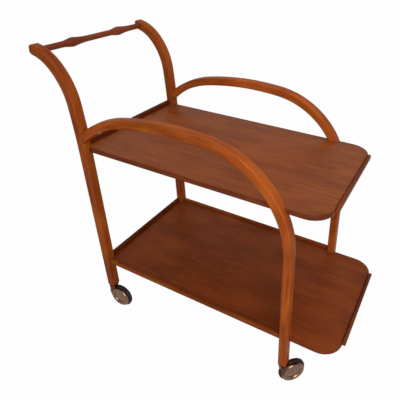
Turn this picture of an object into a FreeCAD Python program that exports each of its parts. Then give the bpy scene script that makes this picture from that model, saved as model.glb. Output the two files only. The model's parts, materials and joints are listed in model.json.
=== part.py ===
import FreeCAD, Part
import math
import os
from types import SimpleNamespace

import Sketcher
from FreeCAD import Placement, Rotation, Vector

# Bentwood tea trolley with two trays on four swivel casters.
# Millimetres and degrees. X points to the front, left is +Y, Z is up from the floor.

SIZES = (
    ("foot_height", 79.0, "underside of the legs above the floor"),
    ("frame_width", 425.4, "over the outer faces of the legs"),
    ("leg_width", 28.8, "leg section across the trolley"),
    ("upright_depth", 24.4, "upright section in the plane of the bend"),
    ("hoop_depth", 22.6, "hoop section in the plane of the bend"),
    ("arris", 2.6, "long edges of the bent wood, taken off at an angle"),
    ("glue_gap", 0.05, "room left between glued or pressed round faces"),
    ("upright_foot_x", -269.6, "front face of the uprights at the foot"),
    ("upright_lean", 3.3, "lean of the uprights to the rear"),
    ("upright_straight", 454.0, "straight run of the uprights from the foot"),
    ("upright_sweep_radius", 1780.0, "slow curve above the straight run"),
    ("upright_sweep_angle", 4.2, "turn of the slow curve"),
    ("upright_bend_radius", 174.0, "main bend to the rear"),
    ("upright_bend_angle", 38.6, "turn of the main bend"),
    ("upright_curl_radius", 121.0, "tighter bend that ends in the tip"),
    ("upright_curl_angle", 37.5, "turn of the tighter bend"),
    ("tip_front_radius", 6.5, "rounding of the upper corner of the tip"),
    ("tip_rear_radius", 12.0, "rounding of the lower corner of the tip"),
    ("hoop_foot_x", 310.4, "front face of the front legs at the foot"),
    ("hoop_lean", 3.5, "lean of the front legs to the rear"),
    ("hoop_straight", 356.2, "straight run of the front legs from the foot"),
    ("hoop_shoulder_radius", 248.0, "bend from the leg into the arch"),
    ("hoop_shoulder_angle", 80.2, "turn of that bend"),
    ("hoop_crown_radius", 803.0, "flat crown of the arch"),
    ("hoop_crown_angle", 17.2, "turn of the crown"),
    ("hoop_tail_radius", 274.0, "bend from the crown down to the upright"),
    ("hoop_dowel_radius", 4.0, "dowel between hoop and upright"),
    ("hoop_dowel_depth", 13.0, "depth of that dowel in each piece"),
    ("hoop_dowel_lean", 38.0, "slope of that dowel, along the hoop's end"),
    ("tray_housing", 13.0, "depth of the tray edges in the legs"),
    ("tray_corner_radius", 54.0, "front corners of both trays, seen from above"),
    ("tray_arris", 1.8, "edges of the tray boards, taken off at an angle"),
    ("top_tray_height", 548.6, "upper face of the top tray"),
    ("top_tray_thickness", 13.0, "board of the top tray"),
    ("top_tray_front_x", 347.7, "front edge of the top tray"),
    ("bottom_tray_height", 170.5, "upper face of the bottom tray"),
    ("bottom_tray_thickness", 8.0, "board of the bottom tray"),
    ("bottom_tray_front_x", 425.0, "front edge of the bottom tray"),
    ("tray_dowel_radius", 2.5, "dowels between tray edge and leg"),
    ("tray_dowel_board_depth", 14.0, "depth of those dowels in the tray"),
    ("tray_dowel_leg_depth", 9.0, "depth of those dowels in the leg"),
    ("lip_edge_radius", 1.5, "rounding of the lip edges"),
    ("front_lip_overrun", 1.0, "front lips past the start of the tray corners"),
    ("front_lip_thickness", 8.0, "front lips along the trolley"),
    ("top_front_lip_rise", 3.8, "top front lip above its tray"),
    ("top_front_lip_height", 12.6, "top front lip, whole height"),
    ("bottom_front_lip_rise", 6.5, "bottom front lip above its tray"),
    ("bottom_front_lip_height", 11.0, "bottom front lip, whole height"),
    ("rear_lip_thickness", 10.0, "rear lips along the trolley"),
    ("rear_lip_rise", 12.0, "rear lips above their tray"),
    ("rear_lip_setback", 1.0, "rear lips inside the rear faces of the uprights"),
    ("side_lip_thickness", 8.5, "bottom side lips across the trolley"),
    ("side_lip_rise", 9.0, "bottom side lips above their tray"),
    ("side_lip_height", 13.0, "bottom side lips, whole height"),
    ("bar_setback", 17.0, "push bar axis before the tip, along the upright"),
    ("bar_tenon_radius", 5.5, "round tenon at each end of the push bar"),
    ("bar_tenon_depth", 13.0, "length of those tenons"),
    ("bar_neck_radius", 7.8, "push bar where it meets the uprights"),
    ("bar_waist_radius", 8.5, "push bar before its second node"),
    ("bar_node_radius", 12.2, "push bar at its nodes"),
    ("bar_node_y", 91.4, "nodes from the middle of the push bar"),
    ("bar_crest_width", 2.4, "crest of a node"),
    ("bar_flare_length", 46.0, "flare that leads up to a node"),
    ("bar_drop_length", 12.0, "cove that leads down from a node"),
    ("bar_middle_foot_radius", 9.6, "push bar after its first node"),
    ("bar_end_foot_radius", 8.3, "push bar after its second node"),
    ("wheel_radius", 37.5, "outside of the tyre"),
    ("caster_trail", 28.0, "axle behind the swivel axis"),
    ("turn_front_left", 228.3, "direction of the trail at rest, front left"),
    ("turn_front_right", 48.3, "direction of the trail at rest, front right"),
    ("turn_rear_left", 181.0, "direction of the trail at rest, rear left"),
    ("turn_rear_right", 1.0, "direction of the trail at rest, rear right"),
    ("running_gap", 0.06, "radial clearance of turning pins"),
    ("end_play", 0.3, "clearance between turning end faces"),
    ("stem_radius", 4.0, "swivel stem"),
    ("stem_length", 30.0, "swivel stem above the foot"),
    ("socket_wall", 1.4, "sleeve in the leg"),
    ("socket_length", 33.0, "sleeve above the foot"),
    ("flange_radius", 11.0, "flange of the sleeve under the foot"),
    ("flange_thickness", 1.2, "that flange"),
    ("boss_radius", 14.6, "round top of the horn"),
    ("boss_ease", 1.4, "height of the slope round that top"),
    ("neck_radius", 10.6, "horn at its lower end"),
    ("neck_height", 19.0, "horn from its top to its lower end"),
    ("stem_seat", 7.0, "depth of the stem in the horn"),
    ("tyre_room", 2.0, "room between the tyre and the saddle of the horn"),
    ("arm_thickness", 3.4, "side arm of the horn"),
    ("arm_root_width", 18.0, "that arm at the top"),
    ("arm_end_radius", 8.5, "that arm round the axle"),
    ("axle_radius", 3.0, "axle pin"),
    ("axle_head_radius", 5.4, "head of the axle between the arm and the cap"),
    ("axle_head_height", 1.5, "that head"),
    ("axle_end_radius", 4.6, "riveted end of the axle outside the hub"),
    ("axle_end_height", 1.0, "that end"),
    ("hub_radius", 6.5, "hub of the wheel"),
    ("hub_arm_reach", 6.5, "hub towards the arm, from the wheel's middle"),
    ("hub_open_reach", 8.4, "hub away from the arm, from the wheel's middle"),
    ("web_thickness", 2.4, "disc of the wheel"),
    ("rim_radius", 32.2, "seat of the tyre"),
    ("rim_wall", 3.6, "rim under the tyre"),
    ("rim_width", 12.0, "rim along the axle"),
    ("cap_wall", 0.9, "sheet of the hub cap"),
    ("cap_radius", 35.4, "outside of the hub cap"),
    ("cap_ring_radius", 29.6, "crest of the raised ring of the hub cap"),
    ("cap_ring_rise", 3.6, "that crest above the rim of the cap"),
    ("cap_groove_radius", 21.5, "groove between the ring and the dome"),
    ("cap_groove_rise", 1.6, "that groove above the rim of the cap"),
    ("cap_dome_radius", 8.8, "flat middle of the dome"),
    ("cap_dome_rise", 4.4, "that middle above the rim of the cap"),
    ("tyre_width", 13.0, "tyre along the axle"),
    ("tyre_shoulder", 2.6, "tyre side that slopes, in height"),
    ("tread_width", 6.0, "flat of the tread"),
)


class Size:
    """A number together with the sheet expression that gives it."""

    def __init__(self, number, text):
        self.number = number
        self.text = text

    def __add__(self, other):
        other = sized(other)
        return Size(self.number + other.number, f"({self.text} + {other.text})")

    def __radd__(self, other):
        return sized(other) + self

    def __sub__(self, other):
        other = sized(other)
        return Size(self.number - other.number, f"({self.text} - {other.text})")

    def __rsub__(self, other):
        return sized(other) - self

    def __mul__(self, other):
        other = sized(other)
        return Size(self.number * other.number, f"({self.text} * {other.text})")

    def __rmul__(self, other):
        return sized(other) * self

    def __truediv__(self, other):
        other = sized(other)
        return Size(self.number / other.number, f"({self.text} / {other.text})")

    def __neg__(self):
        return 0 - self


def sized(value):
    """The value as a Size; a plain number stands for itself."""
    return value if isinstance(value, Size) else Size(value, str(value))


def sine(angle):
    return Size(math.sin(math.radians(angle.number)), f"sin({angle.text})")


def cosine(angle):
    return Size(math.cos(math.radians(angle.number)), f"cos({angle.text})")


def arc_sine(share):
    return Size(math.degrees(math.asin(share.number)), f"(asin({share.text}) / (1 deg))")


def root(size):
    return Size(math.sqrt(size.number), f"sqrt({size.text})")


def in_degrees(radians):
    return radians * (180 / math.pi)


def dome_radius(reach, rise):
    """Radius of an arc that is level at its top and falls by the rise over the reach."""
    return (reach * reach + rise * rise) / (2 * rise)


doc = FreeCAD.newDocument("trolley")
sheet = doc.addObject("Spreadsheet::Sheet", "sizes")
for row, (alias, number, note) in enumerate(SIZES, start=1):
    sheet.set(f"A{row}", alias)
    sheet.set(f"B{row}", str(number))
    sheet.setAlias(f"B{row}", alias)
    sheet.set(f"C{row}", note)
doc.recompute()
S = SimpleNamespace(**{alias: Size(sheet.get(alias), f"sizes.{alias}") for alias, _, _ in SIZES})
nodes = {}


def derived(alias, size, note):
    """Keep a worked out size in the sheet, under its own alias."""
    row = next(index for index in range(len(SIZES) + 1, 2 * len(SIZES)) if not sheet.getContents(f"A{index}"))
    sheet.set(f"A{row}", alias)
    sheet.set(f"B{row}", "=" + size.text.replace("sizes.", ""))
    sheet.setAlias(f"B{row}", alias)
    sheet.set(f"C{row}", note)
    return Size(size.number, f"sizes.{alias}")


# Placing and binding

def bind(obj, prop, size):
    """Give a property its number by the sheet."""
    obj.setExpression(prop, sized(size).text)


def place(obj, x=0, y=0, z=0, axis=Vector(0, 0, 1), turn=0):
    obj.Placement = Placement(Vector(), Rotation(axis, sized(turn).number))
    for prop, size in zip(("x", "y", "z"), (x, y, z)):
        if isinstance(size, Size):
            bind(obj, f"Placement.Base.{prop}", size)
    if isinstance(turn, Size):
        bind(obj, "Placement.Rotation.Angle", turn)


def box(name, low, spans):
    made = doc.addObject("Part::Box", name)
    place(made, *low)
    for prop, size in zip(("Length", "Width", "Height"), spans):
        bind(made, prop, size)
    return made


def cylinder(name, radius, height, base, axis=Vector(0, 0, 1), turn=0):
    made = doc.addObject("Part::Cylinder", name)
    place(made, *base, axis, turn)
    bind(made, "Radius", radius)
    bind(made, "Height", height)
    return made


def fused(name, shapes):
    made = doc.addObject("Part::MultiFuse", name)
    made.Shapes = shapes
    return made


def cut(label, base, tools):
    """The base less all tools, kept under its label."""
    made = doc.addObject("Part::Cut", label)
    made.Base = base
    made.Tool = tools[0] if len(tools) == 1 else fused(f"{label}_tools", tools)
    return keep(label, made)


def keep(label, made):
    made.Label = label
    nodes[label] = made
    return made


def across(side):
    """Turn about X that lays a cylinder outwards on this side."""
    return Vector(1, 0, 0), -90 * side


# Sketches

def new_sketch(body, name, role):
    sketch = body.newObject("Sketcher::SketchObject", name)
    plane = next(feature for feature in body.Origin.OriginFeatures if feature.Role == role)
    sketch.AttachmentSupport = [(plane, "")]
    sketch.MapMode = "FlatFace"
    return sketch


def datum(sketch, size, *rule):
    """Add a dimension whose number comes from the sheet. Angles are in degrees."""
    number = math.radians(size.number) if rule[0] == "Angle" else size.number
    index = sketch.addConstraint(Sketcher.Constraint(*rule, number))
    sketch.setExpression(f"Constraints[{index}]", size.text)


def rule(sketch, *rule_parts):
    sketch.addConstraint(Sketcher.Constraint(*rule_parts))


def pin(sketch, edge, end, x, y):
    """Fix a point of the sketch; a zero coordinate puts it on the axis."""
    for kind, size, axis in (("DistanceX", x, -2), ("DistanceY", y, -1)):
        if isinstance(size, Size):
            datum(sketch, size, kind, -1, 1, edge, end)
        else:
            rule(sketch, "PointOnObject", edge, end, axis)


def flat(x, y):
    return Vector(sized(x).number, sized(y).number, 0)


def arc_through(start, end, radius):
    """Arc from start to end, centre on the left for a positive radius. Gives it with its end numbers."""
    chord = end - start
    left = Vector(-chord.y, chord.x, 0).normalize()
    rise = math.sqrt(radius * radius - chord.Length ** 2 / 4)
    centre = (start + end) / 2 + left * math.copysign(rise, radius)
    first, last = (start, end) if radius > 0 else (end, start)
    angles = [math.atan2(point.y - centre.y, point.x - centre.x) for point in (first, last)]
    arc = Part.ArcOfCircle(Part.Circle(centre, Vector(0, 0, 1), abs(radius)), *angles)
    return arc, ((1, 2) if radius > 0 else (2, 1))


def profile(sketch, points, arcs=None):
    """Closed outline through the points. Edges named in arcs are arcs with that radius and side."""
    arcs = arcs or {}
    spots = [flat(*point) for point in points]
    edges = []
    for index, start in enumerate(spots):
        end = spots[(index + 1) % len(spots)]
        if index in arcs:
            size, side = arcs[index]
            curve, ends = arc_through(start, end, size.number * side)
        else:
            curve, ends = Part.LineSegment(start, end), (1, 2)
        edges.append((sketch.addGeometry(curve), ends))
    for index, (edge, ends) in enumerate(edges):
        after, after_ends = edges[(index + 1) % len(edges)]
        rule(sketch, "Coincident", edge, ends[1], after, after_ends[0])
    for index, (edge, ends) in enumerate(edges):
        pin(sketch, edge, ends[0], *points[index])
        if index in arcs:
            datum(sketch, arcs[index][0], "Radius", edge)


def disc(sketch, x, y, radius):
    """A full circle."""
    edge = sketch.addGeometry(Part.Circle(flat(x, y), Vector(0, 0, 1), radius.number))
    pin(sketch, edge, 3, x, y)
    datum(sketch, radius, "Radius", edge)


def new_body(name, x=0, y=0, z=0, turn=0):
    body = doc.addObject("PartDesign::Body", name)
    place(body, x, y, z, turn=turn)
    return body


def pad(body, sketch, length, kind="Pad"):
    """Extrude the sketch equally to both sides of its plane; a Pocket takes that room away."""
    made = body.newObject(f"PartDesign::{kind}", f"{body.Name}_{kind.lower()}")
    made.Profile = sketch
    made.SideType = "Symmetric"
    bind(made, "Length", length)
    doc.recompute()
    return made


def turned(body, role, points, arcs=None):
    """Turn a profile about the sketch's upright axis."""
    sketch = new_sketch(body, f"{body.Name}_profile", role)
    profile(sketch, points, arcs)
    made = body.newObject("PartDesign::Revolution", f"{body.Name}_turned")
    made.Profile = sketch
    made.ReferenceAxis = (sketch, ["V_Axis"])
    return body


def eased(body, base, kind, prop, size, wanted):
    made = body.newObject(f"PartDesign::{kind}", f"{body.Name}_{kind.lower()}")
    names = [f"Edge{index}" for index, edge in enumerate(base.Shape.Edges, start=1) if wanted(edge)]
    made.Base = (base, names)
    bind(made, prop, size)
    doc.recompute()
    return made


def rounded(body, base, radius, wanted):
    """Round the edges for which wanted(edge) holds."""
    return eased(body, base, "Fillet", "Radius", radius, wanted)


def bevelled(body, base, size, wanted):
    """Take off at an angle the edges for which wanted(edge) holds."""
    return eased(body, base, "Chamfer", "Size", size, wanted)


def along(edge, axis):
    """Whether a straight edge runs along the axis."""
    if edge.Curve.TypeId != "Part::GeomLine":
        return False
    return abs(edge.Curve.Direction.dot(axis)) > 1 - Part.Precision.angular()


def bent_outline(sketch, foot, lean, straight, bends, depth, cut_at=None):
    """Outline of a bent leg: a straight run from the foot, then arcs that turn to the rear.

    The last arc ends square after its turn, or without a turn on a line through cut_at (x, z, lean).
    """
    heading = math.radians(90 + lean.number)
    left = first_left = Vector(-math.sin(heading), math.cos(heading), 0)
    ahead = Vector(math.cos(heading), math.sin(heading), 0)
    start = flat(*foot)
    spot = start + ahead * straight.number
    outer = [sketch.addGeometry(Part.LineSegment(start, spot))]
    inner = []
    for radius, turn in bends:
        centre = spot + left * radius.number
        low = heading - math.pi / 2
        if turn is None:
            heading = math.acos((cut_at[0].number - centre.x) / radius.number) + math.pi / 2
        else:
            heading += math.radians(turn.number)
        for chain, reach in ((outer, radius.number), (inner, radius.number - depth.number)):
            circle = Part.Circle(centre, Vector(0, 0, 1), reach)
            chain.append(sketch.addGeometry(Part.ArcOfCircle(circle, low, heading - math.pi / 2)))
        left = Vector(-math.sin(heading), math.cos(heading), 0)
        spot = centre - left * radius.number
    inner_foot = start + first_left * depth.number
    inner_top = inner_foot + ahead * straight.number
    rear_line = sketch.addGeometry(Part.LineSegment(inner_foot, inner_top))
    foot_line = sketch.addGeometry(Part.LineSegment(start, inner_foot))
    end_line = sketch.addGeometry(Part.LineSegment(spot + left * depth.number, spot))

    pin(sketch, outer[0], 1, *foot)
    datum(sketch, 90 + lean, "Angle", outer[0])
    datum(sketch, straight, "Distance", outer[0])
    for before, after in zip(outer, outer[1:]):
        rule(sketch, "Tangent", before, 2, after, 1)
    for before, after in zip(inner, inner[1:]):
        rule(sketch, "Tangent", before, 2, after, 1)
    for arc, rear_arc, (radius, turn) in zip(outer[1:], inner, bends):
        rule(sketch, "Coincident", arc, 3, rear_arc, 3)
        datum(sketch, radius, "Radius", arc)
        if turn is not None:
            datum(sketch, turn, "Angle", arc)
    datum(sketch, bends[0][0] - depth, "Radius", inner[0])
    rule(sketch, "Tangent", rear_line, 2, inner[0], 1)
    rule(sketch, "Parallel", outer[0], rear_line)
    rule(sketch, "Coincident", foot_line, 1, outer[0], 1)
    rule(sketch, "Coincident", foot_line, 2, rear_line, 1)
    rule(sketch, "Horizontal", foot_line)
    rule(sketch, "Coincident", end_line, 1, inner[-1], 2)
    rule(sketch, "Coincident", end_line, 2, outer[-1], 2)
    if cut_at is None:
        rule(sketch, "PointOnObject", outer[-1], 3, end_line)
    else:
        x, z, slant = cut_at
        mark = sketch.addGeometry(Part.Point(flat(x, z)), True)
        pin(sketch, mark, 1, x, z)
        rule(sketch, "PointOnObject", mark, 1, end_line)
        datum(sketch, 90 + slant, "Angle", end_line)


# Places that follow from the sizes

half_width = S.frame_width / 2
leg_inner = half_width - S.leg_width
leg_y = half_width - S.leg_width / 2
tray_half = leg_inner + S.tray_housing
front_lip_length = 2 * (tray_half - S.tray_corner_radius + S.front_lip_overrun)
straight_x = S.upright_foot_x - S.upright_straight * sine(S.upright_lean)
straight_z = S.foot_height + S.upright_straight * cosine(S.upright_lean)
sweep_lean = S.upright_lean + S.upright_sweep_angle
bend_lean = sweep_lean + S.upright_bend_angle
tip_lean = bend_lean + S.upright_curl_angle
bend_x = straight_x - S.upright_sweep_radius * (cosine(S.upright_lean) - cosine(sweep_lean))
bend_z = straight_z + S.upright_sweep_radius * (sine(sweep_lean) - sine(S.upright_lean))
curl_x = bend_x - S.upright_bend_radius * (cosine(sweep_lean) - cosine(bend_lean))
curl_z = bend_z + S.upright_bend_radius * (sine(bend_lean) - sine(sweep_lean))
curl_centre_x = curl_x - S.upright_curl_radius * cosine(bend_lean)
curl_centre_z = curl_z - S.upright_curl_radius * sine(bend_lean)
curl_middle = S.upright_curl_radius - S.upright_depth / 2
bar_lean = tip_lean - in_degrees(S.bar_setback / curl_middle)
bar_x = curl_centre_x + curl_middle * cosine(bar_lean)
bar_z = curl_centre_z + curl_middle * sine(bar_lean)


def sweep_lean_at(height):
    """Lean of the uprights at a height within their slow curve."""
    return arc_sine(sine(S.upright_lean) + (height - straight_z) / S.upright_sweep_radius)


def sweep_face_at(height):
    """Front face of the uprights at a height within their slow curve."""
    return straight_x - S.upright_sweep_radius * (cosine(S.upright_lean) - cosine(sweep_lean_at(height)))


def upright_face_at(height):
    """Front face of the uprights at a height within their straight run."""
    return S.upright_foot_x - (height - S.foot_height) * sine(S.upright_lean) / cosine(S.upright_lean)


def hoop_rear_at(height):
    """Rear face of the front legs at a height within their straight run."""
    slope = sine(S.hoop_lean) / cosine(S.hoop_lean)
    return S.hoop_foot_x - S.hoop_depth / cosine(S.hoop_lean) - (height - S.foot_height) * slope


# Joint of hoop and upright: where the middle line of the hoop's tail meets the slow curve of the upright

shoulder_lean = S.hoop_lean + S.hoop_shoulder_angle
crown_lean = shoulder_lean + S.hoop_crown_angle


def tail_centre(start, part):
    """Centre of the hoop's tail, from the end of its straight run; part is cosine for x, sine for z."""
    to_crown = (S.hoop_shoulder_radius - S.hoop_crown_radius) * part(shoulder_lean)
    to_tail = (S.hoop_crown_radius - S.hoop_tail_radius) * part(crown_lean)
    return start - S.hoop_shoulder_radius * part(S.hoop_lean) + to_crown + to_tail


tail_x = derived("tail_centre_x", tail_centre(S.hoop_foot_x - S.hoop_straight * sine(S.hoop_lean), cosine),
                 "centre of the hoop's tail")
tail_z = derived("tail_centre_z", tail_centre(S.foot_height + S.hoop_straight * cosine(S.hoop_lean), sine),
                 "height of that centre")
away_x = derived("sweep_away_x", straight_x - S.upright_sweep_radius * cosine(S.upright_lean) - tail_x,
                 "from that centre to the centre of the upright's slow curve")
away_z = derived("sweep_away_z", straight_z - S.upright_sweep_radius * sine(S.upright_lean) - tail_z,
                 "height between those centres")
away = derived("sweep_away", root(away_x * away_x + away_z * away_z), "distance between those centres")
tail_middle = S.hoop_tail_radius - S.hoop_depth / 2
joint_reach = derived("joint_reach", (away * away + tail_middle * tail_middle
                                      - S.upright_sweep_radius * S.upright_sweep_radius) / (2 * away),
                      "joint from the tail's centre, along the line of centres")
joint_rise = derived("joint_rise", root(tail_middle * tail_middle - joint_reach * joint_reach),
                     "joint above the line of centres")
joint_x = derived("joint_x", tail_x + (joint_reach * away_x + joint_rise * away_z) / away,
                  "middle of the hoop's end on the upright")
joint_z = derived("joint_z", tail_z + (joint_reach * away_z - joint_rise * away_x) / away,
                  "height of that joint")
joint_lean = sweep_lean_at(joint_z)
lip_inset = S.rear_lip_setback + S.rear_lip_thickness - S.upright_depth
top_rear_x = sweep_face_at(S.top_tray_height) + lip_inset
bottom_rear_x = upright_face_at(S.bottom_tray_height) + lip_inset
foot_middle_rear = S.upright_foot_x - S.upright_depth / (2 * cosine(S.upright_lean))
foot_middle_front = S.hoop_foot_x - S.hoop_depth / (2 * cosine(S.hoop_lean))

TRAYS = {
    "top": (S.top_tray_height, S.top_tray_thickness, top_rear_x, S.top_tray_front_x),
    "bottom": (S.bottom_tray_height, S.bottom_tray_thickness, bottom_rear_x, S.bottom_tray_front_x),
}
SIDES = {"left": 1, "right": -1}

# Dowel places: along the tray edges, at the middle of each leg
top_front_leg_x = S.hoop_foot_x - S.hoop_straight * sine(S.hoop_lean) - S.hoop_shoulder_radius * (
    cosine(S.hoop_lean) - cosine(arc_sine(
        sine(S.hoop_lean) + (S.top_tray_height - S.foot_height - S.hoop_straight * cosine(S.hoop_lean))
        / S.hoop_shoulder_radius)))
TRAY_DOWELS = {
    "top": (top_rear_x - lip_inset / 2, top_front_leg_x - S.hoop_depth / 2),
    "bottom": (bottom_rear_x - lip_inset / 2, hoop_rear_at(S.bottom_tray_height) + S.hoop_depth / 2),
}


def tray_middle(tier):
    height, thickness = TRAYS[tier][:2]
    return height - thickness / 2


def dowel_at(name, tier, x, side, room):
    """Dowel from the tray edge into a leg; room makes it the bore for that dowel."""
    start = tray_half - S.tray_dowel_board_depth - room
    length = S.tray_dowel_board_depth + S.tray_dowel_leg_depth + 2 * room
    base = (x, start * side, tray_middle(tier))
    return cylinder(name, S.tray_dowel_radius + room, length, base, *across(side))


def hoop_dowel(name, side, room):
    """Dowel across the joint of hoop and upright; room makes it the bore for that dowel."""
    reach = S.hoop_dowel_depth + room
    x = joint_x - reach * cosine(S.hoop_dowel_lean)
    z = joint_z - reach * sine(S.hoop_dowel_lean)
    return cylinder(name, S.hoop_dowel_radius + room, 2 * reach, (x, leg_y * side, z),
                    Vector(0, 1, 0), 90 - S.hoop_dowel_lean)


def tray_slot(name, tier, side):
    """The room that a tray's board takes on one side."""
    height, thickness, rear, front = TRAYS[tier]
    low_y = 0 if side > 0 else -tray_half
    return box(name, (rear, low_y, height - thickness), (front - rear, tray_half, thickness))


def leg_tools(label, side, foot_x, dowels):
    """What both kinds of leg lose: tray housings, dowel bores and the caster's socket."""
    tools = [cylinder(f"{label}_socket_bore", S.stem_radius + S.running_gap + S.socket_wall + S.glue_gap,
                      S.socket_length + S.glue_gap, (foot_x, leg_y * side, S.foot_height))]
    for tier in TRAYS:
        tools.append(tray_slot(f"{label}_{tier}_housing", tier, side))
        tools.append(dowel_at(f"{label}_{tier}_bore", tier, TRAY_DOWELS[tier][dowels], side, S.glue_gap))
    tools.append(hoop_dowel(f"{label}_hoop_bore", side, S.glue_gap))
    return tools


# Bent wood

def on_flank(edge):
    """Whether an edge of the blank lies in one of its two flat flanks."""
    return edge.BoundBox.YLength < S.glue_gap.number


def make_upright(name, side):
    label = f"rear_upright_{name}"
    body = new_body(f"{label}_blank", y=leg_y * side)
    sketch = new_sketch(body, f"{label}_outline", "XZ_Plane")
    bends = [(S.upright_sweep_radius, S.upright_sweep_angle), (S.upright_bend_radius, S.upright_bend_angle),
             (S.upright_curl_radius, S.upright_curl_angle)]
    bent_outline(sketch, (S.upright_foot_x, S.foot_height), S.upright_lean, S.upright_straight, bends,
                 S.upright_depth)
    blank = pad(body, sketch, S.leg_width)
    tip_z = (curl_centre_z + curl_middle * sine(tip_lean)).number

    def at_tip(edge, above):
        at_end = along(edge, Vector(0, 1, 0)) and edge.CenterOfMass.x < bar_x.number
        return at_end and (edge.CenterOfMass.z > tip_z) == above

    blank = rounded(body, blank, S.tip_front_radius, lambda edge: at_tip(edge, True))
    blank = rounded(body, blank, S.tip_rear_radius, lambda edge: at_tip(edge, False))
    bevelled(body, blank, S.arris,
             lambda edge: on_flank(edge) and edge.BoundBox.ZMax > S.foot_height.number + S.glue_gap.number)
    tools = leg_tools(label, side, foot_middle_rear, 0)
    tools.append(cylinder(f"{label}_bar_bore", S.bar_tenon_radius + S.glue_gap,
                          S.bar_tenon_depth + S.glue_gap, (bar_x, leg_inner * side, bar_z), *across(side)))
    cut(label, body, tools)


def make_hoop(name, side):
    label = f"front_hoop_{name}"
    body = new_body(f"{label}_blank", y=leg_y * side)
    sketch = new_sketch(body, f"{label}_outline", "XZ_Plane")
    bends = [(S.hoop_shoulder_radius, S.hoop_shoulder_angle), (S.hoop_crown_radius, S.hoop_crown_angle),
             (S.hoop_tail_radius, None)]
    cut_at = (joint_x + S.glue_gap, joint_z, joint_lean)
    bent_outline(sketch, (S.hoop_foot_x, S.foot_height), S.hoop_lean, S.hoop_straight, bends,
                 S.hoop_depth, cut_at)
    blank = pad(body, sketch, S.leg_width)
    bevelled(body, blank, S.arris,
             lambda edge: on_flank(edge) and edge.BoundBox.ZMax > S.foot_height.number + S.glue_gap.number
             and edge.BoundBox.XMax > joint_x.number + S.hoop_depth.number)
    cut(label, body, leg_tools(label, side, foot_middle_front, 1))


for name, side in SIDES.items():
    make_upright(name, side)
    make_hoop(name, side)


# Push bar

def make_bar():
    body = new_body("push_bar_blank", x=bar_x, z=bar_z)
    crest = S.bar_crest_width / 2
    end = leg_inner + S.bar_tenon_depth
    points = [(0, -end), (S.bar_tenon_radius, -end), (S.bar_tenon_radius, -leg_inner),
              (S.bar_neck_radius, -leg_inner)]
    arcs = {}
    nodes_on_bar = ((-S.bar_node_y, S.bar_neck_radius, S.bar_middle_foot_radius),
                    (S.bar_node_y, S.bar_waist_radius, S.bar_end_foot_radius))
    for node_y, before, after in nodes_on_bar:
        first = len(points)
        points += [(before, node_y - crest - S.bar_flare_length), (S.bar_node_radius, node_y - crest),
                   (S.bar_node_radius, node_y + crest), (after, node_y + crest + S.bar_drop_length)]
        arcs[first] = (dome_radius(S.bar_flare_length, S.bar_node_radius - before), -1)
        arcs[first + 2] = (dome_radius(S.bar_drop_length, S.bar_node_radius - after), -1)
    points += [(S.bar_neck_radius, leg_inner), (S.bar_tenon_radius, leg_inner), (S.bar_tenon_radius, end),
               (0, end)]
    keep("push_bar", turned(body, "XY_Plane", points, arcs))


make_bar()


# Trays and their lips

def make_tray(tier):
    label = f"{tier}_tray"
    height, thickness, rear, front = TRAYS[tier]
    body = new_body(f"{label}_blank", z=tray_middle(tier))
    sketch = new_sketch(body, f"{label}_outline", "XY_Plane")
    profile(sketch, [(rear, -tray_half), (front, -tray_half), (front, tray_half), (rear, tray_half)])
    blank = pad(body, sketch, thickness)
    blank = rounded(body, blank, S.tray_corner_radius,
                    lambda edge: along(edge, Vector(0, 0, 1)) and edge.CenterOfMass.x > rear.number / 2)
    bevelled(body, blank, S.tray_arris,
             lambda edge: edge.BoundBox.ZLength < S.glue_gap.number
             and edge.BoundBox.XMax > rear.number / 2)
    bores = [dowel_at(f"{label}_bore_{end}_{name}", tier, x, side, S.glue_gap)
             for end, x in enumerate(TRAY_DOWELS[tier]) for name, side in SIDES.items()]
    cut(label, body, bores)
    dowels = doc.addObject("Part::Compound", f"{tier}_tray_dowels")
    dowels.Links = [dowel_at(f"{label}_dowel_{end}_{name}", tier, x, side, 0)
                    for end, x in enumerate(TRAY_DOWELS[tier]) for name, side in SIDES.items()]
    keep(f"{tier}_tray_dowels", dowels)


def make_strip(label, outline, y, length, wanted):
    """A straight lip: an outline seen from the side, drawn out across the trolley."""
    body = new_body(label, y=y)
    sketch = new_sketch(body, f"{label}_outline", "XZ_Plane")
    profile(sketch, outline)
    blank = pad(body, sketch, length)
    rounded(body, blank, S.lip_edge_radius, wanted)
    keep(label, body)


def upright_rectangle(low_x, high_x, low_z, high_z):
    return [(low_x, low_z), (high_x, low_z), (high_x, high_z), (low_x, high_z)]


def make_lips(tier, front_rise, front_height):
    height, thickness, rear, front = TRAYS[tier]
    top = height + S.rear_lip_rise
    make_strip(f"{tier}_rear_lip",
               upright_rectangle(rear - S.rear_lip_thickness, rear, height - thickness, top), 0,
               2 * leg_inner,
               lambda edge: along(edge, Vector(0, 1, 0)) and edge.CenterOfMass.z > height.number)
    top = height + front_rise
    make_strip(f"{tier}_front_lip",
               upright_rectangle(front, front + S.front_lip_thickness, top - front_height, top), 0,
               front_lip_length,
               lambda edge: along(edge, Vector(0, 1, 0)) and (
                   edge.CenterOfMass.x > front.number + S.lip_edge_radius.number
                   or edge.CenterOfMass.z > height.number))


for tier in TRAYS:
    make_tray(tier)
make_lips("top", S.top_front_lip_rise, S.top_front_lip_height)
make_lips("bottom", S.bottom_front_lip_rise, S.bottom_front_lip_height)

for name, side in SIDES.items():
    top = S.bottom_tray_height + S.side_lip_rise
    bottom = top - S.side_lip_height
    make_strip(f"bottom_side_lip_{name}",
               [(upright_face_at(bottom), bottom), (hoop_rear_at(bottom), bottom),
                (hoop_rear_at(top), top), (upright_face_at(top), top)],
               (tray_half + S.side_lip_thickness / 2) * side, S.side_lip_thickness,
               lambda edge: edge.BoundBox.XLength > half_width.number)

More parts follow.
